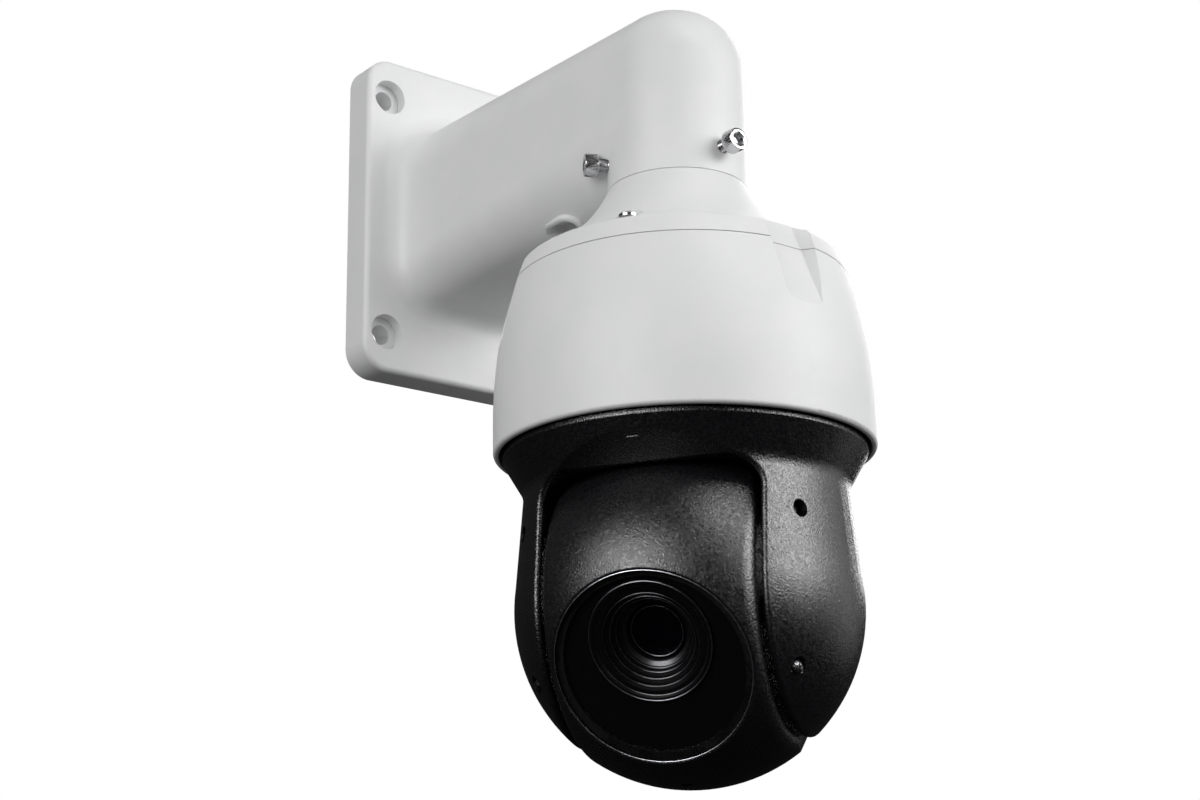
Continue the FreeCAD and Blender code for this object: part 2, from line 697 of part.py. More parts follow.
def pan_motor_screws():
    screws = [screw(2.6, 1.9, dim.screw, 8, place) for place in motor_screw_places(dim.deck_high)]
    node(group(screws), "pan_motor_screws", "neck", motor_place())


def pulley_outline(bore, radius, low, high):
    lip = 1.5
    return [(bore, low), (radius + lip, low), (radius + lip, low + 0.8), (radius, low + 1.3),
            (radius, high - 1.3), (radius + lip, high - 0.8), (radius + lip, high), (bore, high)]


def flat_pulley_outline(bore, radius, low, high):
    lip, wall = 1, 0.4
    return [(bore, low), (radius + lip, low), (radius + lip, low + wall), (radius, low + wall),
            (radius, high - wall), (radius + lip, high - wall), (radius + lip, high), (bore, high)]


def belt(big, small, gap, low, wide):
    """A closed belt round two pulleys, the big one at the origin and the small one on +Y."""
    gap, low, wide = Size.of(gap).value, Size.of(low).value, Size.of(wide).value

    def loop(extra):
        far, near = Size.of(small).value + extra, Size.of(big).value + extra
        lean = math.asin((near - far) / gap)
        side = Vector(math.cos(lean), math.sin(lean), 0)
        mirror = Vector(-side.x, side.y, 0)
        top = Vector(0, gap, 0)
        points = [side * near, top + side * far, top + mirror * far, mirror * near]
        edges = [
            Part.LineSegment(points[0], points[1]).toShape(),
            Part.Arc(points[1], top + Vector(0, far, 0), points[2]).toShape(),
            Part.LineSegment(points[2], points[3]).toShape(),
            Part.Arc(points[3], Vector(0, -near, 0), points[0]).toShape(),
        ]
        return Part.Face(Part.Wire(edges))

    inner = dim.belt_gap.value
    band = loop(inner + dim.belt_thick.value).cut(loop(inner)).extrude(Vector(0, 0, wide))
    shape = doc.addObject("Part::Feature", "Belt")
    shape.Shape = band
    shape.Placement = at(z=low)
    return shape


def pan_drive():
    low, high = dim.pan_belt_low - 1.5, dim.pan_belt_high + 1.5
    node(turned(pulley_outline(dim.race_inner, dim.pan_pulley, low, high)), "pan_pulley", "neck")
    node(turned(pulley_outline(dim.motor_shaft, dim.pan_pinion, low, high)), "pan_motor_pulley", "neck",
         motor_place())
    node(cylinder(dim.motor_shaft, high - dim.motor_low - 2.5, at(z=dim.motor_low + 2.5)),
         "pan_motor_shaft", "neck", motor_place())
    node(belt(dim.pan_pulley, dim.pan_pinion, dim.pan_drive_gap, dim.pan_belt_low,
              dim.pan_belt_high - dim.pan_belt_low), "pan_belt", "neck")


def pan_bearing():
    """A thin ball bearing: outer ring in the chassis hub, inner ring on the turning shaft."""
    low, high = dim.race_low, dim.race_high
    middle = (low + high) / 2
    groove, half = dim.ball + 0.05, 1.4
    shoulder = dim.race_pitch.value + math.sqrt(groove.value ** 2 - half ** 2)
    outer = turned([(shoulder, low), (dim.race_outer, low), (dim.race_outer, high), (shoulder, high),
                    (shoulder, middle + half), Arc(shoulder, middle - half, groove, 1)])
    node(outer, "pan_bearing_outer_ring", "neck")
    shoulder = dim.race_pitch.value - math.sqrt(groove.value ** 2 - half ** 2)
    inner = turned([(dim.race_inner, low), (shoulder, low), (shoulder, middle - half),
                    Arc(shoulder, middle + half, groove, 1), (shoulder, high), (dim.race_inner, high)])
    node(inner, "pan_bearing_inner_ring", "yoke")
    balls = [sphere(dim.ball, turn.multiply(at(y=dim.race_pitch, z=middle))) for turn in around(18)]
    node(group(balls), "pan_bearing_balls", "neck")


def pan_shaft():
    bore, foot, shoulder = dim.shaft_bore, dim.shaft_foot, dim.race_inner + 2.5
    shaft = turned([
        (bore, dim.shaft_low), (foot, dim.shaft_low), (foot, dim.shaft_foot_high),
        (shoulder, dim.shaft_foot_high), (shoulder, dim.race_low), (dim.race_inner, dim.race_low),
        (dim.race_inner, dim.shaft_top), (bore, dim.shaft_top),
    ])
    places = on_circle(4, dim.shaft_screws, dim.shaft_low - 1)
    drills = bores_at(places, dim.screw + 2 * dim.screw_play, 6)
    node(cut(shaft, drills), "pan_shaft", "yoke")


def pan_shaft_screws():
    places = on_circle(4, dim.shaft_screws, dim.shaft_foot_high)
    screws = [screw(2.7, 1.8, dim.screw + dim.screw_play, 6, place) for place in places]
    node(group(screws), "pan_shaft_screws", "yoke")


def slip_ring():
    """A capsule slip ring in the hollow shaft: the fixed half hangs from the main board."""
    drum, gap = dim.slip_ring, dim.slip_ring_gap
    collar_low, collar_high = dim.board_low - 2, dim.board_low
    fixed = turned([(0, gap + 0.2), (drum, gap + 0.2), (drum, collar_low), (dim.throat, collar_low),
                    (dim.throat, collar_high), (0, collar_high)])
    node(fixed, "slip_ring_stator", "neck")
    foot, flange = dim.shaft_low + 3, dim.shaft_low + 5
    turning = turned([(0, foot), (dim.shaft_bore, foot), (dim.shaft_bore, flange), (drum, flange),
                      (drum, gap - 0.2), (0, gap - 0.2)])
    node(turning, "slip_ring_rotor", "yoke")


def board_screw_places(height):
    """On the circle of the main board's four screws and standoffs."""
    return on_circle(4, dim.board_screws, height, 20)


def main_board():
    top = dim.board_low + dim.board_thick
    disc = ring(6, dim.board, dim.board_low, top)
    holes = bores_at(board_screw_places(dim.board_low - 1), dim.screw + 3 * dim.screw_play, 4)
    parts = [
        box(16, 16, 2, at(18, -14, top)), box(9, 9, 1.4, at(-16, -22, top)), box(22, 8, 4.5, at(0, 40, top)),
        box(8, 14, 4, at(-36, 6, top)), cylinder(5, 3.6, at(34, 20, top)), cylinder(5, 3.6, at(24, 30, top)),
    ]
    node(group([cut(disc, holes)] + parts), "main_board", "neck")


def board_standoffs():
    tall = dim.board_low - dim.deck_high
    posts = bores_at(board_screw_places(dim.deck_high), 2.8, tall)
    taps = bores_at(board_screw_places(dim.board_low - 6), dim.screw + dim.screw_play, 6.1)
    node(cut(group(posts), taps), "board_standoffs", "neck")


def board_screws():
    top = dim.board_low + dim.board_thick
    screws = [screw(2.5, 1.6, dim.screw, 7, place) for place in board_screw_places(top)]
    node(group(screws), "board_screws", "neck")


# ---------------------------------------------------------------- yoke

SIDES = (("left", -1), ("right", 1))


def globe_radius(height, globe):
    """The radius of a ball round the tilt axis, at a height of the neck and yoke frames."""
    rise = Size.of(height).value - dim.tilt_height.value
    return math.sqrt(Size.of(globe).value ** 2 - rise ** 2)


def ear_screw_places():
    """Eight radial screws, two up each edge of both ears: (placement with +Z outwards, head depth)."""
    places = []
    for side in (-1, 1):
        for front in (0, 180):
            turn = Placement(Vector(), Rotation(Z_AXIS, front + side * dim.ear_screw_turn.value))
            upper = at(y=-dim.waist - 1.2, z=dim.ear_screw_high, turn=ALONG_FRONT)
            lower = at(y=-globe_radius(dim.ear_screw_low, dim.globe), z=dim.ear_screw_low, turn=ALONG_FRONT)
            places.append((turn.multiply(upper), dim.ear_screw_deep))
            places.append((turn.multiply(lower), dim.ear_screw_shallow))
    return places


def yoke_form(inset, top, foot):
    """The yoke's outside as a solid of revolution, or its hollow when inset by the wall."""
    steps = [(0, top)]
    if Size.of(inset).value:
        steps += [(dim.flange - 6, top), (dim.flange - 6, dim.flange_top - 1.5),
                  (dim.cone_foot - inset, dim.cone_foot_height + 2)]
    else:
        steps += [(dim.flange - 1.2, top), Arc(dim.flange, top - 1.2, 1.2, 1), (dim.flange, dim.flange_low),
                  (dim.cone_foot, dim.cone_foot_height)]
    steps += [
        Arc(dim.waist - inset, dim.waist_height, dim.waist_bend, -1),
        (dim.shoulder - inset, dim.shoulder_height),
        Arc(globe_radius(foot, dim.globe - inset), foot, dim.globe - inset, 1),
        (0, foot),
    ]
    return turned(steps)


def slot_form():
    """The gap between the ears, rounded at its top, running through front to back."""
    half, corner = dim.slot_half, dim.slot_corner
    outline = [
        (-half, dim.ear_tip - 10), (half, dim.ear_tip - 10), (half, dim.slot_high - corner),
        Arc(half - corner, dim.slot_high, corner, -1), (corner - half, dim.slot_high),
        Arc(-half, dim.slot_high - corner, corner, -1),
    ]
    return padded(outline, 0, 200, role="XZ_Plane", midplane=True)


def on_slot_rim(point):
    """Whether a point lies on the outer rim of the gap's walls, clear of the ears' tips."""
    half, high, corner = dim.slot_half.value, dim.slot_high.value, dim.slot_corner.value
    on_wall = abs(abs(point.x) - half) < TOUCH or high - corner < point.z < high + TOUCH
    outside = math.hypot(point.x, point.y) > half + corner
    return on_wall and outside and point.z < high + TOUCH


def brow_form():
    """The sloping flat cut into the front of the flange, above the gap."""
    slope = Rotation(X_AXIS, -dim.brow_slope.value)
    edge = at(y=-dim.brow_out, z=dim.brow_height, turn=slope)
    return box(dim.slot_half * 2 - 0.8, 40, 40, edge.multiply(at(y=8, z=-40)))


def yoke_shell():
    tilt = at(z=dim.tilt_height)
    hollow = yoke_form(dim.ear_skin, dim.flange_top + 1, dim.ear_tip + 6)
    wide = (dim.slot_half + dim.cheek) * 2
    cavity = cut(hollow, [box(wide, 200, 200, at(z=-340))])
    disc = ring(0, dim.web, dim.web_low, dim.flange_top + 1)
    web = common(disc, box(wide + 1, 200, 30, at(z=dim.web_low - 5)))
    web = cut(web, [sphere(dim.pocket_globe + 3, tilt)])
    bosses, bores = [], []
    for place, deep in ear_screw_places():
        bosses.append(cylinder(5.2, deep + 1.4, place.multiply(at(z=-deep - 1.4))))
        bores.append(cylinder(dim.ear_screw_bore, 10, place.multiply(at(z=-deep))))
        bores.append(cylinder(dim.screw + 2 * dim.screw_play, 12, place.multiply(at(z=-12))))
    solid = rounded(cut(yoke_form(0, dim.flange_top, dim.ear_tip), [slot_form()]), dim.ear_lip, on_slot_rim)
    walls = cut(solid, [cavity, web])
    inside = common(group(bosses), yoke_form(0, dim.flange_top, dim.ear_tip))
    head_room = common(sphere(dim.pocket_globe, tilt), box(dim.slot_half * 2, 200, 200, at(z=-300)))
    drain = box(5, 1.4, 6, at(y=-70, z=-159))
    axle = cylinder(dim.axle_hole, 120, at(x=-60, z=dim.tilt_height, turn=ALONG_X))
    tools = [brow_form(), head_room, axle, drain] + bores
    node(cut(group([walls, inside]), tools), "yoke_shell", "yoke")


def yoke_shell_screws():
    screws = [screw(2.75, 1.7, dim.screw, 8.5 - deep, place.multiply(at(z=-deep)))
              for place, deep in ear_screw_places()]
    node(group(screws), "yoke_shell_screws", "yoke")


def arm_outline():
    """One side plate of the yoke frame, drawn as seen along the tilt axis."""
    half, toe = dim.arm_plate_half, dim.arm_plate_half - 18
    top, heel, foot = dim.frame_disc_low + 1, dim.ear_screw_low - 1, -256
    return [(-half, top), (half, top), (half, heel), (toe, foot), (-toe, foot), (-half, heel)]


def tilt_motor_place(x=0):
    return at(x=x, z=dim.tilt_height + dim.tilt_motor_up, turn=ALONG_X)


def yoke_frame():
    top = dim.frame_disc_low
    disc = ring(dim.frame_bore, dim.frame_disc, top, top + dim.frame_disc_thick)
    arms, tools = [], []
    for start in (dim.arm_plate, -dim.arm_plate - dim.arm_plate_thick):
        arms.append(padded(arm_outline(), start, dim.arm_plate_thick, role="YZ_Plane"))
    outer = dim.arm_plate + dim.arm_plate_thick
    long = dim.stand_off
    posts = [cylinder(2.4, long, tilt_motor_place(outer).multiply(at(y=17.5 * side))) for side in (-1, 1)]
    for back in (-18, 18):
        for height in (-190, -236):
            posts.append(cylinder(2.2, long, at(x=-outer - long, y=back, z=height, turn=ALONG_X)))
    tools.append(cylinder(dim.tilt_bearing, 120, at(x=-60, z=dim.tilt_height, turn=ALONG_X)))
    shaft_screws = on_circle(4, dim.shaft_screws, dim.frame_disc_low - 4)
    tools += bores_at(shaft_screws, dim.screw + 2 * dim.screw_play, 8)
    ear_screws = [place.multiply(at(z=-13)) for place, _ in ear_screw_places()]
    tools += bores_at(ear_screws, dim.screw + dim.screw_play, 12)
    node(cut(group([disc] + arms + posts), tools), "yoke_frame", "yoke")


def tilt_bushes():
    """Flanged plain bearings in both side plates."""
    inner, outer = dim.arm_plate, dim.arm_plate + dim.arm_plate_thick
    for label, side in SIDES:
        bush = turned([
            (dim.trunnion + 0.05, inner - 0.9), (10, inner - 0.9), (10, inner), (dim.tilt_bearing, inner),
            (dim.tilt_bearing, outer), (dim.trunnion + 0.05, outer),
        ])
        turn = ALONG_X if side > 0 else Rotation(Y_AXIS, -90)
        node(bush, "tilt_bush_" + label, "yoke", at(z=dim.tilt_height, turn=turn))


def tilt_drive():
    """A flat stepping motor in the right ear drives the head through a small belt."""
    face = dim.arm_plate + dim.arm_plate_thick + dim.stand_off
    low, high = dim.tilt_belt_in - 0.6, dim.tilt_belt_in + dim.tilt_belt_wide + 0.5
    place = tilt_motor_place()
    can = cylinder(dim.tilt_motor, dim.tilt_motor_thick, at(z=face))
    ears = box(6, 41, 1, at(z=face))
    bore = cylinder(dim.tilt_motor_shaft + 0.05, 12, at(z=face - 1))
    node(cut(group([can, ears]), [bore]), "tilt_motor", "yoke", place)
    shaft = cylinder(dim.tilt_motor_shaft, face + 7 - low, at(z=low))
    node(shaft, "tilt_motor_shaft", "yoke", place)
    pinion = turned(flat_pulley_outline(dim.tilt_motor_shaft, dim.tilt_pinion, low, high))
    node(pinion, "tilt_motor_pulley", "yoke", place)
    rise = Rotation(Z_AXIS, 90)
    tilt = at(z=dim.tilt_height, turn=ALONG_X.multiply(rise))
    node(belt(dim.tilt_pulley, dim.tilt_pinion, dim.tilt_motor_up, dim.tilt_belt_in, dim.tilt_belt_wide),
         "tilt_belt", "yoke", tilt)


def ear_board():
    """The small circuit board in the left ear."""
    inner = -dim.arm_plate - dim.arm_plate_thick - dim.stand_off
    back = inner - 1.6
    board = box(1.6, 44, 54, at(x=inner - 0.8, z=-240))
    parts = [box(2.5, 12, 12, at(x=back - 1.25, y=-4, z=-205)), box(3, 16, 5, at(x=back - 1.5, y=0, z=-237)),
             box(2, 6, 8, at(x=back - 1, y=10, z=-222))]
    axle = cylinder(dim.axle_hole, 12, at(x=back - 8, z=dim.tilt_height, turn=ALONG_X))
    node(cut(group([board] + parts), [axle]), "ear_board", "yoke")


# ---------------------------------------------------------------- head

def head_form(inset=0):
    """The head's outside: a ball cut flat at both cheeks, with rounded upper and lower corners."""
    globe = dim.head_globe.value - inset
    half = dim.head_half.value - inset
    bend = dim.head_shoulder.value
    foot = half - bend
    centre = math.sqrt((globe - bend) ** 2 - foot ** 2)
    scale = globe / (globe - bend)
    ball = placed(turned([
        (0, -half), (centre, -half), Arc(centre * scale, -foot * scale, bend, -1), Arc(globe, 0, globe, -1),
        Arc(centre * scale, foot * scale, globe, -1), Arc(centre, half, bend, -1), (0, half),
    ]), at(turn=ALONG_X))
    corner = dim.head_corner - inset
    prism = padded(rounded_box_outline(half, -globe - 1, globe + 1, corner, corner), 0, 200,
                   role="XZ_Plane", midplane=True)
    return common(ball, prism)


def split_box(front):
    """Everything in front of, or behind, the plane where the head's two shells meet."""
    depth = 120
    middle = dim.head_split - depth / 2 if front else dim.head_split + depth / 2
    return box(120, depth, 200, at(y=middle, z=-100))


def head_boss_places(back=0):
    """In the axes of the four screw bosses in the head's corners, with +Z pointing backwards."""
    along = Rotation(X_AXIS, -90)
    return [at(x=33 * side, y=back, z=57 * level, turn=along) for side in (-1, 1) for level in (-1, 1)]


def head_front_shell():
    tools = [box(120, 40, 200, at(y=-dim.window_out - 20, z=-100))]
    room = common(head_form(dim.head_skin.value), box(120, 200, 200, at(y=100 - dim.window_out + 4, z=-100)))
    walls = common(head_form(), split_box(True))
    bosses = bores_at(head_boss_places(dim.head_split - 14), 4, 14)
    shell = group([cut(walls, [room])] + bosses)
    tools.append(placed(cylinder(dim.window_opening, 30), at(y=-dim.window_out + 20, turn=ALONG_FRONT)))
    tools.append(placed(cylinder(dim.window + 0.1, 10), at(y=-dim.window_out + 3, turn=ALONG_FRONT)))
    tools.append(cylinder(8.05, 120, at(x=-60, turn=ALONG_X)))
    tools += bores_at(head_boss_places(dim.head_split - 11), dim.screw + dim.screw_play, 12)
    tools.append(cylinder(dim.vent, 8, vent_place(-2.6)))
    node(cut(shell, tools), "head_front_shell", "head")


def head_rear_shell():
    walls = cut(common(head_form(), split_box(False)), [head_form(dim.head_skin.value)])
    bosses = common(group(bores_at(head_boss_places(dim.head_split), 4, 30)), head_form(0.4))
    tools = bores_at(head_boss_places(dim.head_seat), 3.2, 20)
    tools += bores_at(head_boss_places(dim.head_split - 1), dim.screw + 3 * dim.screw_play, 12)
    node(cut(group([walls, bosses]), tools), "head_rear_shell", "head")


def head_screws():
    screws = [screw(2.8, 1.9, dim.screw, 16, place) for place in head_boss_places(dim.head_seat)]
    node(group(screws), "head_screws", "head")


def window():
    """The flat front glass and the gasket behind it."""
    face = dim.window_out
    glass = turned([
        (0, face - dim.window_thick), (dim.window, face - dim.window_thick), (dim.window, face - 0.4),
        (dim.window - 0.4, face), (0, face),
    ])
    node(glass, "window_glass", "head", at(turn=ALONG_FRONT))
    gasket = ring(dim.window_opening + 0.3, dim.window - 0.1, face - 3, face - dim.window_thick)
    node(gasket, "window_gasket", "head", at(turn=ALONG_FRONT))


def window_mask():
    """The black disc behind the glass; its hole, round the lens, is off its centre."""
    low = dim.mask_front - dim.mask_thick
    disc = cut(cylinder(dim.window, dim.mask_thick, at(z=low)),
               [cylinder(dim.barrel + 0.3, dim.mask_thick + 2, at(y=dim.lens_up, z=low - 1))])
    node(disc, "window_mask", "head", at(turn=ALONG_FRONT))


def trunnions():
    """Stub axles, flanged inside the head's cheeks, that turn in the yoke's bushes."""
    cheek = dim.head_half - dim.head_skin
    for label, side in SIDES:
        tip = 54.5 if side > 0 else 51.5
        stub = turned([
            (2.5, cheek - 2.5), (14, cheek - 2.5), (14, cheek), (8, cheek), (8, dim.head_half + 1),
            (dim.trunnion, dim.head_half + 1), (dim.trunnion, tip), (2.5, tip),
        ])
        turn = ALONG_X if side > 0 else Rotation(Y_AXIS, -90)
        node(stub, "trunnion_" + label, "head", at(turn=turn))


def tilt_pulley():
    low, high = dim.tilt_belt_in - 0.6, dim.tilt_belt_in + dim.tilt_belt_wide + 0.5
    wheel = turned(flat_pulley_outline(dim.trunnion, dim.tilt_pulley, low, high))
    node(wheel, "tilt_pulley", "head", at(turn=ALONG_X))


def lens_axis(y=0):
    """On the optical axis, with +Z pointing out of the lens."""
    return at(y=y, z=dim.lens_up, turn=ALONG_FRONT)


def lens_barrel():
    front, back = dim.barrel_front, dim.barrel_back
    bore = dim.barrel - dim.barrel_skin
    tube = turned([
        (bore, back), (dim.barrel_flange, back), (dim.barrel_flange, back + 2), (dim.barrel, back + 2),
        (dim.barrel, front - 0.6), (dim.barrel - 0.6, front), (bore + 0.8, front), (bore, front - 0.8),
    ])
    node(tube, "lens_barrel", "head", lens_axis())


def lens_hood():
    """The stepped baffle between the barrel's mouth and the front lens."""
    radius, height = dim.barrel - dim.barrel_skin, dim.barrel_front - 1.2
    steps = [(radius, height - 15.5), (radius, height)]
    inner = [19.6, 17.4, 15.4, 13.6]
    for step, width in enumerate(inner):
        steps += [(width + 1.2, height - 2.2 * step), (width, height - 0.5 - 2.2 * step),
                  (width, height - 2.2 * (step + 1))]
    steps += [(dim.front_lens_edge, height - 9.6), (dim.front_lens_edge, height - 15.5)]
    node(turned(steps), "lens_hood", "head", lens_axis())


def lens_element(radius, bulge_front, bulge_back, middle, edge):
    """A biconvex lens: two balls' overlap, edged to a radius, centred on a height of the lens axis."""
    front = (radius ** 2 + bulge_front ** 2) / (2 * bulge_front)
    back = (radius ** 2 + bulge_back ** 2) / (2 * bulge_back)
    low, high = middle - edge / 2 - bulge_back, middle + edge / 2 + bulge_front
    balls = common(sphere(front, at(z=high - front)), sphere(back, at(z=low + back)))
    return common(balls, cylinder(radius, high - low + 2, at(z=low - 1)))


def front_lens():
    edge = dim.front_lens_edge.value - 0.1
    node(lens_element(edge, 2.6, 0.8, 42.5, 3), "front_lens", "head", lens_axis())


def carriage(label, middle):
    """A lens carriage that slides on the two guide rods."""
    thick = 4
    holder = ring(dim.lens_edge, 15.5, middle - thick / 2, middle + thick / 2)
    lugs = box(dim.rod_apart * 2 + 5.4, 6, thick, at(z=middle - thick / 2))
    below = middle - thick / 2 - 1
    tools = [cylinder(dim.lens_edge, thick + 2, at(z=below))]
    for side in (-1, 1):
        tools.append(cylinder(dim.rod + 0.05, thick + 2, at(x=dim.rod_apart * side, z=below)))
    node(cut(group([holder, lugs]), tools), label + "_carriage", "head", lens_axis())
    edge = dim.lens_edge.value - 0.02
    node(lens_element(edge, 1.2, 1.2, middle, 1.6), label + "_lens", "head", lens_axis())


def lens_carriages():
    carriage("zoom", 32)
    carriage("focus", 23.5)


def guide_rods():
    back = dim.barrel_back
    rods = [cylinder(dim.rod, 19.7, at(x=dim.rod_apart * side, z=back)) for side in (-1, 1)]
    node(group(rods), "lens_guide_rods", "head", lens_axis())


def camera_mount():
    """The plate inside the front shell that carries the lens barrel and the sensor board."""
    back = dim.barrel_back
    plate = box(80.8, 68, 2, at(y=-6, z=back - 2))
    node(cut(plate, [cylinder(13, 4, at(z=back - 3))]), "camera_mount", "head", lens_axis())


def sensor_board():
    back = dim.barrel_back - 2 - 4
    board = box(38, 38, 1.6, at(z=back - 1.6))
    chip = box(12, 10, 1.5, at(z=back))
    posts = [cylinder(2, 4, at(16 * sx, 16 * sy, back)) for sx in (-1, 1) for sy in (-1, 1)]
    plugs = [box(14, 4, 3, at(z=back - 4.6)), box(4, 12, 3, at(x=13, z=back - 4.6))]
    node(group([board, chip] + posts + plugs), "sensor_board", "head", lens_axis())


def vent_place(out=0):
    """Low on the head's front, below the window, with +Z pointing out of the shell."""
    place = at(turn=Rotation(X_AXIS, 180 - dim.vent_turn.value))
    return place.multiply(at(z=dim.head_globe + out))


def vent_plug():
    node(cylinder(dim.vent, 2, vent_place(-2.6)), "vent_plug", "head")


# ---------------------------------------------------------------- the whole camera

def build():
    """Makes every sub-part in turn."""
    for make in (
        wall_bracket, neck_lock_screws, top_cover, top_cover_screws, cover_seal, cable_gland, upper_housing,
        dust_ring, chassis_plate, chassis_screws, pan_motor, pan_motor_screws, pan_drive, pan_bearing,
        pan_shaft, pan_shaft_screws, slip_ring, main_board, board_standoffs, board_screws,
        yoke_shell, yoke_shell_screws, yoke_frame, tilt_bushes, tilt_drive, ear_board,
        head_front_shell, head_rear_shell, head_screws, window, window_mask, trunnions, tilt_pulley,
        lens_barrel, lens_hood, front_lens, lens_carriages, guide_rods, camera_mount, sensor_board,
        vent_plug,
    ):
        make()
    doc.recompute()


def check():
    """Stops if any object failed or any sub-part is empty or broken."""
    for item in doc.Objects:
        if "Invalid" in item.State or "Error" in item.State:
            raise SystemExit("%s failed: %s" % (item.Label, item.State))
    for part in nodes:
        if part.Shape.isNull() or not part.Shape.isValid() or not part.Shape.Solids:
            raise SystemExit("%s has no valid solid" % part.Label)


def export():
    os.makedirs("parts", exist_ok=True)
    for part in nodes:
        part.Shape.exportStep("parts/%s.step" % part.Label)
        print("%-24s %2d solids %9.0f mm3" % (part.Label, len(part.Shape.Solids), part.Shape.Volume))


build()
check()
export()
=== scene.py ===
"""Looks for the wall-mounted pan-tilt-zoom camera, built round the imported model.

Blender's lengths are metres: lengths given in millimetres are multiplied by MM. +Z is up, and the
wall is towards +Y.
"""
import json
import math

import bpy
from mathutils import Matrix, Vector


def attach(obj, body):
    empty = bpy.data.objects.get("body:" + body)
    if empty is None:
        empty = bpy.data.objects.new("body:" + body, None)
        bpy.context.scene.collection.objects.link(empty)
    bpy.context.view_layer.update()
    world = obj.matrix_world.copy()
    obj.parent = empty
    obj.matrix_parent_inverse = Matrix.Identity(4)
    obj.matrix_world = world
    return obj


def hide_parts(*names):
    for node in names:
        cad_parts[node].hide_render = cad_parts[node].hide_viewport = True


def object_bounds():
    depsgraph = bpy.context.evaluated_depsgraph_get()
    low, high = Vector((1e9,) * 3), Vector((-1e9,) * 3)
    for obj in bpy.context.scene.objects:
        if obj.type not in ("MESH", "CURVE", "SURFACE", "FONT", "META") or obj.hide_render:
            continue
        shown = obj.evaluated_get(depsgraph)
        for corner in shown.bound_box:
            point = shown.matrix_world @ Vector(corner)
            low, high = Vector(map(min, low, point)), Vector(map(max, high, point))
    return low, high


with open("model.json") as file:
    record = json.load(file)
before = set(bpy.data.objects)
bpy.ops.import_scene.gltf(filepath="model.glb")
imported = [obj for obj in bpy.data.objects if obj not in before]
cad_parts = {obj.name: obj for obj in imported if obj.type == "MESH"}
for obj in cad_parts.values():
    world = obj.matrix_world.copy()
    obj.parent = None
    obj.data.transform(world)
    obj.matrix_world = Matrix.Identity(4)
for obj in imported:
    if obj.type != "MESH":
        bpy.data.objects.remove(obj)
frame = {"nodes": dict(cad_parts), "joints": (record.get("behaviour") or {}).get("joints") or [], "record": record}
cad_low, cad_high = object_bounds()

MM = 0.001
UP = Vector((0, 0, 1))

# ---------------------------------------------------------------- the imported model's own places

NODES = frame["nodes"]
JOINTS = {joint["name"]: joint for joint in frame["joints"]}
PAN_PIVOT = Vector(JOINTS["pan"]["pos_m"])
TILT_PIVOT = Vector(JOINTS["tilt"]["pos_m"])
TILT_AXIS = Vector(JOINTS["tilt"]["axis"])
LENS_AXIS = Vector(JOINTS["zoom"]["axis"])


def basis(origin, x_axis, z_axis):
    """A placement whose +X and +Z lie along two perpendicular directions."""
    x, z = x_axis.normalized(), z_axis.normalized()
    y = z.cross(x)
    matrix = Matrix((x, y, z)).transposed().to_4x4()
    matrix.translation = origin
    return matrix


# ---------------------------------------------------------------- shader building blocks

class Shader:
    """A material whose nodes are added by short calls."""

    def __init__(self, name, **values):
        self.material = bpy.data.materials.new(name)
        self.material.use_nodes = True
        self.tree = self.material.node_tree
        self.surface = self.tree.nodes["Principled BSDF"]
        self.set(self.surface, values)
        self.place = self.add("TexCoord").outputs["Object"]

    def set(self, node, values):
        """Sets a node's inputs by name, with _ for each space."""
        for name, value in values.items():
            node.inputs[name.replace("_", " ")].default_value = value

    def add(self, kind, **values):
        """A new node with some inputs set."""
        node = self.tree.nodes.new("ShaderNode" + kind)
        self.set(node, values)
        return node

    def link(self, source, target):
        self.tree.links.new(source, target)

    def noise(self, size, detail=2.0, roughness=0.5):
        """Noise whose lumps are about `size` across, from 0 to 1."""
        node = self.add("TexNoise", Scale=1 / size, Detail=detail, Roughness=roughness)
        self.link(self.place, node.inputs["Vector"])
        return node.outputs["Fac"]

    def cells(self, size):
        """Cells about `size` across: the distance from each cell's middle, from 0 to 1."""
        node = self.add("TexVoronoi", Scale=1 / size)
        self.link(self.place, node.inputs["Vector"])
        return node.outputs["Distance"]

    def spread(self, source, low, high, start=0.3, end=0.7):
        """The source from `start` to `end`, spread over `low` to `high`."""
        node = self.add("MapRange", From_Min=start, From_Max=end, To_Min=low, To_Max=high)
        self.link(source, node.inputs["Value"])
        return node.outputs["Result"]

    def sum(self, first, second, share):
        """The first source with a share of the second added."""
        node = self.add("Math")
        node.operation = "MULTIPLY_ADD"
        self.link(second, node.inputs[0])
        node.inputs[1].default_value = share
        self.link(first, node.inputs[2])
        return node.outputs["Value"]

    def colour(self, source, dark, light, start=0.3, end=0.7):
        """The base colour: dark where the source is at `start`, light where it is at `end`."""
        share = self.spread(source, 0, 1, start, end)
        ramp = self.add("Mix")
        ramp.data_type = "RGBA"
        ramp.inputs["A"].default_value = (*dark, 1)
        ramp.inputs["B"].default_value = (*light, 1)
        self.link(share, ramp.inputs["Factor"])
        self.link(ramp.outputs["Result"], self.surface.inputs["Base Color"])

    def rough(self, source, low, high):
        """The roughness, from `low` to `high`."""
        self.link(self.spread(source, low, high), self.surface.inputs["Roughness"])

    def bump(self, height, depth, strength=1.0, edge=0.0):
        """Relief `depth` high, over edges that are rounded by `edge`."""
        node = self.add("Bump", Distance=depth, Strength=strength)
        self.link(height, node.inputs["Height"])
        if edge:
            bevel = self.add("Bevel", Radius=edge)
            bevel.samples = 4
            self.link(bevel.outputs["Normal"], node.inputs["Normal"])
        self.link(node.outputs["Normal"], self.surface.inputs["Normal"])


# ---------------------------------------------------------------- materials

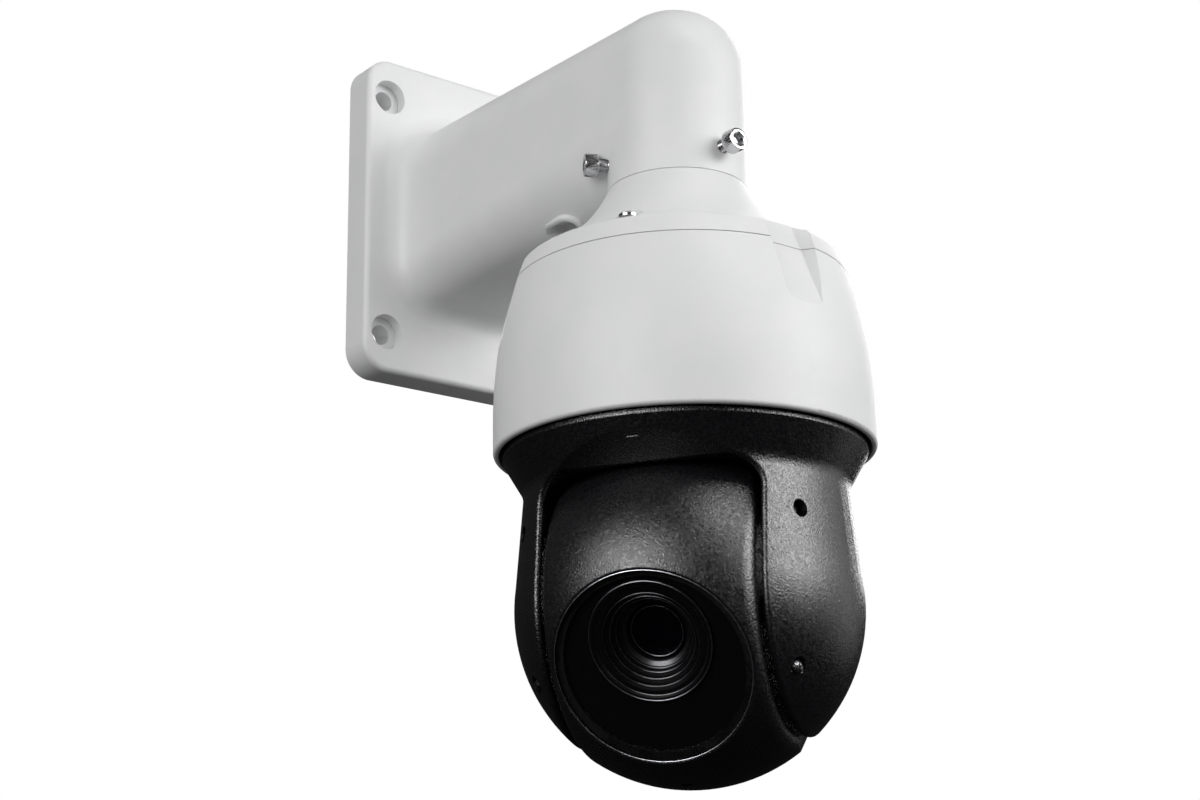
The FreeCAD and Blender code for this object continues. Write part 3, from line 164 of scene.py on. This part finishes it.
def powder_coat():
    """Satin white powder coat on cast metal: fine orange peel over a slow unevenness."""
    coat = Shader("powder_coat", Specular_IOR_Level=0.45)
    fine, slow = coat.noise(0.9 * MM, detail=3), coat.noise(18 * MM)
    coat.colour(slow, dark=(0.82, 0.825, 0.83), light=(0.85, 0.85, 0.85))
    coat.rough(coat.noise(2.2 * MM), low=0.42, high=0.55)
    peel = coat.sum(fine, coat.noise(4 * MM), share=0.8)
    coat.bump(peel, depth=0.035 * MM, strength=0.8, edge=0.5 * MM)
    return coat.material


def grained_plastic():
    """Black moulded plastic with a spark-eroded grain."""
    shell = Shader("grained_plastic", Specular_IOR_Level=0.9)
    fine = shell.noise(0.70 * MM, detail=1, roughness=0.6)
    grain = shell.sum(fine, shell.cells(0.65 * MM), share=0.5)
    shell.colour(grain, dark=(0.0020, 0.0020, 0.0026), light=(0.0070, 0.0072, 0.0085),
                 start=0.4, end=0.9)
    shell.rough(shell.noise(1.4 * MM), low=0.20, high=0.36)
    shell.bump(grain, depth=0.17 * MM, edge=0.4 * MM)
    return shell.material


def rubber():
    """Dusty black seal rubber."""
    seal = Shader("rubber", Specular_IOR_Level=0.3)
    dust = seal.noise(1.5 * MM, detail=3)
    seal.colour(dust, dark=(0.010, 0.010, 0.010), light=(0.022, 0.021, 0.020))
    seal.rough(dust, low=0.62, high=0.8)
    seal.bump(dust, depth=0.05 * MM, strength=0.5)
    return seal.material


def stainless():
    """Turned stainless steel."""
    steel = Shader("stainless", Metallic=1.0)
    marks = steel.noise(0.5 * MM, detail=4)
    steel.colour(marks, dark=(0.50, 0.50, 0.51), light=(0.66, 0.66, 0.67))
    steel.rough(marks, low=0.14, high=0.30)
    steel.bump(marks, depth=0.01 * MM, strength=0.4, edge=0.15 * MM)
    return steel.material


def shade_darkened_steel():
    """Screw steel darkened as painted shade of the deep recesses the ear screws sit in, lighter in random patches.
    """
    steel = Shader("shade_darkened_steel", Metallic=1.0)
    marks = steel.noise(0.7 * MM, detail=3)
    # painted shade: the near-black end of this range stands for the shade inside the ear screws' recesses
    steel.colour(marks, dark=(0.05, 0.05, 0.055), light=(0.42, 0.42, 0.43), start=0.4, end=0.75)
    steel.rough(marks, low=0.20, high=0.38)
    return steel.material


def bearing_steel():
    """Ground and polished bearing steel."""
    metal = Shader("bearing_steel", Metallic=1.0)
    marks = metal.noise(0.6 * MM, detail=3)
    metal.colour(marks, dark=(0.60, 0.60, 0.61), light=(0.68, 0.68, 0.69))
    metal.rough(marks, low=0.08, high=0.16)
    return metal.material


def alloy():
    """Machined, clear-anodised aluminium."""
    metal = Shader("alloy", Metallic=1.0)
    marks = metal.noise(1.2 * MM, detail=4)
    metal.colour(marks, dark=(0.55, 0.56, 0.57), light=(0.68, 0.69, 0.70))
    metal.rough(marks, low=0.32, high=0.48)
    metal.bump(marks, depth=0.02 * MM, strength=0.5)
    return metal.material


def brass():
    """Turned brass."""
    metal = Shader("brass", Metallic=1.0)
    marks = metal.noise(0.8 * MM, detail=3)
    metal.colour(marks, dark=(0.62, 0.44, 0.16), light=(0.74, 0.56, 0.26))
    metal.rough(marks, low=0.22, high=0.36)
    return metal.material


def ring_metal(name, dark, light):
    """Satin metal of the rings round the lenses, between two greys that lean towards blue."""
    metal = Shader(name, Metallic=1.0)
    marks = metal.noise(0.4 * MM, detail=3)
    metal.colour(marks, dark=(dark, dark, dark * 1.06), light=(light, light, light * 1.05))
    metal.rough(marks, low=0.26, high=0.42)
    metal.bump(marks, depth=0.01 * MM, strength=0.4)
    return metal.material


def enamel():
    """Black enamel on a motor's case."""
    paint = Shader("enamel", Specular_IOR_Level=0.5)
    peel = paint.noise(1.5 * MM, detail=3)
    paint.colour(peel, dark=(0.03, 0.03, 0.032), light=(0.05, 0.05, 0.053))
    paint.rough(peel, low=0.3, high=0.45)
    paint.bump(peel, depth=0.03 * MM, strength=0.6)
    return paint.material


def moulded(name, dark, light, low=0.45, high=0.6):
    """A plain moulded plastic, between two colours and two roughnesses."""
    plastic = Shader(name, Specular_IOR_Level=0.4)
    skin = plastic.noise(1.8 * MM, detail=3)
    plastic.colour(skin, dark, light)
    plastic.rough(skin, low, high)
    plastic.bump(skin, depth=0.03 * MM, strength=0.6)
    return plastic.material


def circuit_board():
    """Green solder mask with a faint pattern of what runs under it."""
    board = Shader("circuit_board", Specular_IOR_Level=0.5)
    tracks = board.cells(3 * MM)
    board.colour(tracks, dark=(0.010, 0.10, 0.045), light=(0.018, 0.16, 0.075),
                 start=0.30, end=0.38)
    board.rough(board.noise(2 * MM), low=0.25, high=0.4)
    board.bump(tracks, depth=0.03 * MM, strength=0.5)
    return board.material


def lens_black():
    """Satin black of the lens mounts."""
    black = Shader("lens_black", Specular_IOR_Level=0.5)
    marks = black.noise(0.7 * MM, detail=3)
    black.colour(marks, dark=(0.006, 0.006, 0.007), light=(0.012, 0.012, 0.014))
    black.rough(marks, low=0.28, high=0.42)
    black.bump(marks, depth=0.02 * MM, strength=0.5, edge=0.25 * MM)
    return black.material


def window_glass():
    """Tinted, coated window glass: it dims what is behind it and keeps a faint gloss."""
    glass = Shader("window_glass", Alpha=0.25, Specular_IOR_Level=0.3,
                   Coat_Weight=0.25, Coat_Roughness=0.02)
    haze = glass.noise(14 * MM)
    glass.colour(haze, dark=(0.0008, 0.0008, 0.0010), light=(0.0012, 0.0012, 0.0015))
    glass.rough(haze, low=0.02, high=0.05)
    glass.material.surface_render_method = "BLENDED"
    return glass.material


def lens_glass():
    """Coated optical glass over a dark barrel."""
    glass = Shader("lens_glass", Alpha=0.5, Specular_IOR_Level=0.6,
                   Coat_Weight=0.5, Coat_Roughness=0.02)
    coating = glass.noise(9 * MM, detail=1)
    glass.colour(coating, dark=(0.004, 0.005, 0.012), light=(0.010, 0.006, 0.014))
    glass.rough(coating, low=0.01, high=0.04)
    glass.material.surface_render_method = "BLENDED"
    return glass.material


BY_SLOT = {
    "white_coat": powder_coat(),
    "black_shell": grained_plastic(),
    "window": window_glass(),
    "stainless": stainless(),
    "bearing_steel": bearing_steel(),
    "seal_rubber": rubber(),
    "belt_rubber": moulded("belt_rubber", dark=(0.012, 0.012, 0.012), light=(0.022, 0.022, 0.022),
                           low=0.6, high=0.75),
    "gland_plastic": moulded("gland_plastic", dark=(0.02, 0.02, 0.02),
                             light=(0.035, 0.035, 0.035)),
    "alloy": alloy(),
    "motor_steel": enamel(),
    "bush_plastic": moulded("bush_plastic", dark=(0.66, 0.64, 0.56), light=(0.74, 0.72, 0.65)),
    "circuit_board": circuit_board(),
    "brass": brass(),
    "lens_black": lens_black(),
    "lens_glass": lens_glass(),
}
# painted shade: steel darkened to the shade of the ear screws' deep recesses
EAR_SCREW_SHADED_STEEL = shade_darkened_steel()
BRIGHT_RING = ring_metal("bright_ring", dark=0.62, light=0.80)
DULL_RING = ring_metal("dull_ring", dark=0.20, light=0.30)


def dress_nodes():
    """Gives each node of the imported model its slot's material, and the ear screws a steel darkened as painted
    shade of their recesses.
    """
    for part in frame["record"]["subparts"]:
        mesh = NODES[part["node"]].data
        mesh.materials.clear()
        mesh.materials.append(BY_SLOT[part["material_slot"]])
    # painted shade: the ear screws get the darkened steel in place of their stainless
    NODES["yoke_shell_screws"].data.materials[0] = EAR_SCREW_SHADED_STEEL


# ---------------------------------------------------------------- mesh building blocks

SHARP_ANGLE = math.radians(35)


def piece(name, points, faces, material, body):
    """A smooth-shaded mesh piece that rides on a body."""
    mesh = bpy.data.meshes.new(name)
    mesh.from_pydata(points, [], faces)
    mesh.materials.append(material)
    mesh.polygons.foreach_set("use_smooth", [True] * len(mesh.polygons))
    mesh.set_sharp_from_angle(angle=SHARP_ANGLE)
    thing = bpy.data.objects.new(name, mesh)
    bpy.context.scene.collection.objects.link(thing)
    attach(thing, body)
    return thing


def row(place, radii, height, points):
    """Adds points round a placement's +Z at one height, one for each radius, in millimetres.

    Returns the indices of the points.
    """
    first = len(points)
    for step, radius in enumerate(radii):
        angle = math.tau * step / len(radii)
        corner = Vector((radius * math.cos(angle), radius * math.sin(angle), height))
        points.append(place @ (corner * MM))
    return range(first, len(points))


def band(near, far, faces):
    """Adds the faces from one row of points to the next."""
    for step in range(len(near)):
        after = (step + 1) % len(near)
        faces.append((near[step], near[after], far[after], far[step]))


def lathe(profile, place, points, faces, around):
    """Adds a ring, turned from a closed loop of (radius, height) corners in millimetres."""
    rows = [row(place, [radius] * around, height, points) for radius, height in profile]
    for near, far in zip(rows, rows[1:] + rows[:1]):
        band(near, far, faces)


def bead(radius, height, wire, corners=10):
    """The profile of a ring of round wire."""
    angles = [math.tau * corner / corners for corner in range(corners)]
    return [(radius + wire * math.cos(angle), height + wire * math.sin(angle)) for angle in angles]


def chamfer(outer, inner, high, low, thick):
    """The profile of a sloping ring that narrows from its high outer edge to its low inner one."""
    return [(outer, high), (outer, high - thick), (inner, low - thick), (inner, low)]


# ---------------------------------------------------------------- rings round the lens and window

LENS_RISE = 9.4 * MM                # from the tilt axis up to the lens's own axis
MOUTH_RINGS = (                     # radius, distance from the tilt axis and wire radius, in mm
    (24.45, 56.5, 0.26),
    (22.6, 55.6, 0.16),
    (19.2, 54.9, 0.10),
    (17.0, 52.8, 0.18),
    (15.2, 50.5, 0.14),
    (10.4, 45.6, 0.20),
)
RING_STEPS = 96
WINDOW_RIM = (39.3, 59.3, 0.2)      # the same three sizes
WINDOW_RIM_STEPS = 160


def head_rings(name, profiles, place, material, around=RING_STEPS):
    """One piece on the head, made of turned rings."""
    points, faces = [], []
    for profile in profiles:
        lathe(profile, place, points, faces, around)
    piece(name, points, faces, material, "head")


def lens_rings():
    """Bright edges and the sloping retaining ring in the lens's mouth, and the window's rim."""
    rise = LENS_AXIS.cross(TILT_AXIS)
    rise = rise if rise.z > 0 else -rise
    lens_place = basis(TILT_PIVOT + rise * LENS_RISE, TILT_AXIS, LENS_AXIS)
    window_place = basis(TILT_PIVOT, TILT_AXIS, LENS_AXIS)
    retainer = chamfer(outer=14.3, inner=12.2, high=48.6, low=46.8, thick=0.5)
    head_rings("lens_rings", [bead(*sizes) for sizes in MOUTH_RINGS], lens_place, BRIGHT_RING)
    head_rings("lens_retainer", [retainer], lens_place, DULL_RING)
    head_rings("window_rim", [bead(*WINDOW_RIM)], window_place, BRIGHT_RING, WINDOW_RIM_STEPS)


# ---------------------------------------------------------------- lock screws in the neck

LOCK_HEIGHT = -17.5 * MM
LOCK_COUNT = 3

# M6 screws, in millimetres; FROM and TO are distances from the pan axis.
THREAD_FROM, THREAD_TO = 26.1, 34.9
THREAD_CREST, THREAD_ROOT, THREAD_PITCH = 2.95, 2.45, 1.0
THREAD_STEPS = 48
THREAD_ROWS_PER_TURN = 8
HEAD_FROM, HEAD_TO = 34.7, 40.7
HEAD_RADIUS = 5
HEAD_STEPS = 96
KNURL_DEPTH = 0.14
SOCKET_REACH = 2.9                  # from the hexagon's middle to a corner
SOCKET_DEPTH = 3
SOCKET_TIP_DEPTH = 3.6


def thread(place, points, faces):
    """Adds a screw thread along a placement's +Z, closed at both ends."""
    count = round((THREAD_TO - THREAD_FROM) / THREAD_PITCH * THREAD_ROWS_PER_TURN)
    rows = []
    for index in range(count + 1):
        height = THREAD_FROM + (THREAD_TO - THREAD_FROM) * index / count
        turns = [(height / THREAD_PITCH + step / THREAD_STEPS) % 1 for step in range(THREAD_STEPS)]
        radii = [THREAD_ROOT + (THREAD_CREST - THREAD_ROOT) * abs(2 * turn - 1) for turn in turns]
        rows.append(row(place, radii, height, points))
    for near, far in zip(rows, rows[1:]):
        band(near, far, faces)
    faces.append(tuple(reversed(rows[0])))
    faces.append(tuple(rows[-1]))


def hexagon(reach, around):
    """The radii of a hexagon whose corners are `reach` from its middle."""
    half, side = math.pi / 6, math.pi / 3
    angles = [math.tau * step / around for step in range(around)]
    return [reach * math.cos(half) / math.cos(angle % side - half) for angle in angles]


def socket_head(place, points, faces):
    """Adds a socket head: a knurled rim with rounded edges, and a hexagonal socket with a tip."""
    def circle(radius):
        return [radius] * HEAD_STEPS

    knurl = [HEAD_RADIUS - KNURL_DEPTH * (step % 2) for step in range(HEAD_STEPS)]
    socket = hexagon(SOCKET_REACH, HEAD_STEPS)
    # From the middle of the underside up the rim, over its rounded edge and down the socket.
    outline = (
        (circle(0), HEAD_FROM),
        (circle(HEAD_RADIUS - 0.3), HEAD_FROM),
        (knurl, HEAD_FROM + 0.3),
        (knurl, HEAD_TO - 0.7),
        (circle(HEAD_RADIUS - 0.25), HEAD_TO - 0.2),
        (circle(HEAD_RADIUS - 0.8), HEAD_TO),
        (circle(SOCKET_REACH + 0.45), HEAD_TO),
        (socket, HEAD_TO - 0.4),
        (socket, HEAD_TO - SOCKET_DEPTH),
        (circle(0), HEAD_TO - SOCKET_TIP_DEPTH),
    )
    rows = [row(place, radii, height, points) for radii, height in outline]
    for near, far in zip(rows, rows[1:]):
        band(near, far, faces)


def lock_screws():
    """Socket-head screws round the neck, with a real thread between the neck and each head."""
    points, faces = [], []
    centre = Vector((PAN_PIVOT.x, PAN_PIVOT.y, LOCK_HEIGHT))
    for index in range(LOCK_COUNT):
        away = Matrix.Rotation(math.tau * index / LOCK_COUNT, 3, "Z") @ Vector((0, -1, 0))
        place = basis(centre, UP, away)
        thread(place, points, faces)
        socket_head(place, points, faces)
    screws = piece("lock_screws", points, faces, BY_SLOT["stainless"], "mount")
    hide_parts("neck_lock_screws")


# ---------------------------------------------------------------- stage and lights

WHITE = (1, 1, 1, 1)
FLOOR_HEIGHT = -1.1
FLOOR_HALF = 15
FLOOR_GLOW = 0.42

# How far up a direction points where the sky's glow starts and ends its rise, and the glow there.
SKY_FROM, SKY_TO = -0.15, 0.9
GLOW_FROM, GLOW_TO = 0.085, 0.53
GLOW_SHARE_IN_GLOSS = 0.10


def floor():
    """A pale floor, which the camera sees but which neither lights the model nor shows in it."""
    half = FLOOR_HALF
    mesh = bpy.data.meshes.new("floor")
    corners = [(x, y, FLOOR_HEIGHT)
               for x, y in ((-half, -half), (half, -half), (half, half), (-half, half))]
    mesh.from_pydata(corners, [], [(0, 1, 2, 3)])
    ground = bpy.data.objects.new("floor", mesh)
    bpy.context.scene.collection.objects.link(ground)
    pale = Shader("pale_floor", Specular_IOR_Level=0.2,
                  Emission_Color=WHITE, Emission_Strength=FLOOR_GLOW)
    speck = pale.noise(30 * MM, detail=3)
    pale.colour(speck, dark=(0.74, 0.74, 0.74), light=(0.78, 0.78, 0.78))
    pale.rough(speck, low=0.7, high=0.85)
    mesh.materials.append(pale.material)
    ground.visible_diffuse = False
    ground.visible_glossy = False


def studio():
    """A white backdrop to the eye, and a top-heavy glow for light, dimmer in reflections."""
    world = bpy.data.worlds.new("studio")
    bpy.context.scene.world = world
    world.use_nodes = True
    tree = world.node_tree
    tree.nodes.clear()

    def add(kind, **values):
        node = tree.nodes.new("ShaderNode" + kind)
        for name, value in values.items():
            node.inputs[name.replace("_", " ")].default_value = value
        return node

    coordinates, axes, rays = add("TexCoord"), add("SeparateXYZ"), add("LightPath")
    rise = add("MapRange", From_Min=SKY_FROM, From_Max=SKY_TO, To_Min=GLOW_FROM, To_Max=GLOW_TO)
    dimmer = add("MapRange", To_Min=1.0, To_Max=GLOW_SHARE_IN_GLOSS)
    strength = add("Math")
    strength.operation = "MULTIPLY"
    glow, backdrop = add("Background", Color=WHITE), add("Background", Color=WHITE)
    chosen, output = add("MixShader"), add("OutputWorld")
    for source, target in (
        (coordinates.outputs["Generated"], axes.inputs[0]),
        (axes.outputs["Z"], rise.inputs["Value"]),
        (rays.outputs["Is Glossy Ray"], dimmer.inputs["Value"]),
        (rise.outputs["Result"], strength.inputs[0]),
        (dimmer.outputs["Result"], strength.inputs[1]),
        (strength.outputs["Value"], glow.inputs["Strength"]),
        (rays.outputs["Is Camera Ray"], chosen.inputs["Fac"]),
        (glow.outputs[0], chosen.inputs[1]),
        (backdrop.outputs[0], chosen.inputs[2]),
        (chosen.outputs[0], output.inputs["Surface"]),
    ):
        tree.links.new(source, target)


def softbox(name, direction, distance, wide, tall, power, only_gloss=False):
    """An area light that faces the model's middle from a direction.

    One with `only_gloss` shows in reflections and gives no other light.
    """
    middle = (cad_low + cad_high) / 2
    away = Vector(direction).normalized()
    data = bpy.data.lights.new(name, "AREA")
    data.shape, data.size, data.size_y, data.energy = "RECTANGLE", wide, tall, power
    lamp = bpy.data.objects.new(name, data)
    bpy.context.scene.collection.objects.link(lamp)
    lamp.location = middle + away * distance
    lamp.rotation_mode = "QUATERNION"
    lamp.rotation_quaternion = away.to_track_quat("Z", "Y")
    lamp.visible_diffuse = not only_gloss


def lights():
    """Softboxes in front, to both sides, behind and above; sizes and distances in metres."""
    softbox("key", (0.42, -0.88, 0.34), 1.3, wide=1.25, tall=0.50, power=9.9)
    softbox("key_gloss", (0.50, -0.82, 0.26), 1.3, wide=0.70, tall=0.45, power=3.6,
            only_gloss=True)
    softbox("left_fill", (-0.95, -0.25, 0.16), 1.2, wide=1.1, tall=0.6, power=6.6)
    softbox("right_fill", (0.90, -0.32, 0.25), 1.2, wide=1.1, tall=1.1, power=2.6)
    softbox("right_rim", (0.75, 0.55, 0.45), 1.2, wide=0.8, tall=0.8, power=7.5)
    softbox("high_gloss", (-0.06, -0.68, 0.72), 1.3, wide=0.34, tall=0.26, power=4.0,
            only_gloss=True)
    softbox("left_gloss", (-0.90, -0.22, 0.29), 1.3, wide=0.75, tall=0.26, power=5.0,
            only_gloss=True)


# ---------------------------------------------------------------- camera

CAMERA_AIM = Vector((-44.8, -170, -130)) * MM
CAMERA_DISTANCE = 854 * MM
CAMERA_AZIMUTH = math.radians(-38.57)     # from straight in front of the wall
CAMERA_ELEVATION = math.radians(-16.62)
CAMERA_ROLL = math.radians(-0.99)
CAMERA_LENS, CAMERA_SENSOR = 63, 36       # focal length and sensor width, in millimetres
CLIP_START, CLIP_END = 0.01, 20


def camera():
    """A camera at the photo's angle: from below, to the left of straight in front."""
    flat = math.cos(CAMERA_ELEVATION)
    back = Vector((flat * math.sin(CAMERA_AZIMUTH), -flat * math.cos(CAMERA_AZIMUTH),
                   math.sin(CAMERA_ELEVATION)))
    level = UP.cross(back).normalized()
    right = Matrix.Rotation(CAMERA_ROLL, 3, back) @ level
    data = bpy.data.cameras.new("camera")
    data.lens, data.sensor_width = CAMERA_LENS, CAMERA_SENSOR
    data.clip_start, data.clip_end = CLIP_START, CLIP_END
    eye = bpy.data.objects.new("camera", data)
    bpy.context.scene.collection.objects.link(eye)
    eye.matrix_world = basis(CAMERA_AIM + back * CAMERA_DISTANCE, right, back)
    bpy.context.scene.camera = eye


# ---------------------------------------------------------------- everything, in order

dress_nodes()
lens_rings()
lock_screws()
floor()
studio()
lights()
camera()
bpy.context.scene.view_settings.view_transform = "Standard"
